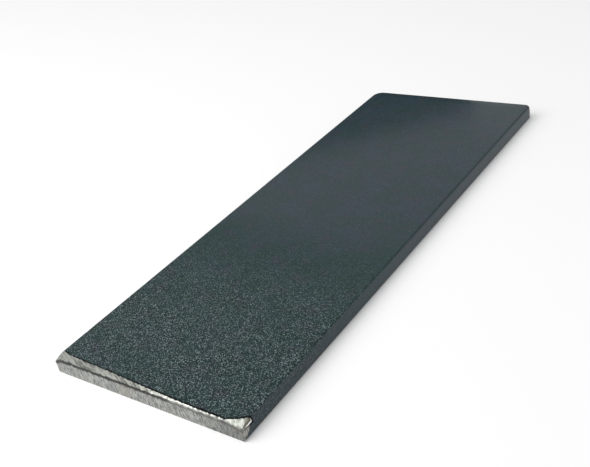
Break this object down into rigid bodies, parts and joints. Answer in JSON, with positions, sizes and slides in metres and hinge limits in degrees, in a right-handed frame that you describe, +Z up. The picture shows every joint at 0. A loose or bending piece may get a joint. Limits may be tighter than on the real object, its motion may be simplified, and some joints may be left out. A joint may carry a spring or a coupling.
{
  "type": "steel flat bar",
  "caption": "Short length of hot-rolled steel flat bar with softened rolled edges, a square sawn end and a hand-ground bevel carried round its corner.",
  "frame": {"origin": "middle of the underside", "axes": "+X across the bar, +Y along the bar away from the sawn and ground end, +Z up, out of the top face"},
  "size_m": [0.08, 0.22, 0.006],
  "materials": {
    "steel": "satin"
  },
  "bodies": {
    "root": {"flat_bar": "steel"}
  },
  "joints": []
}
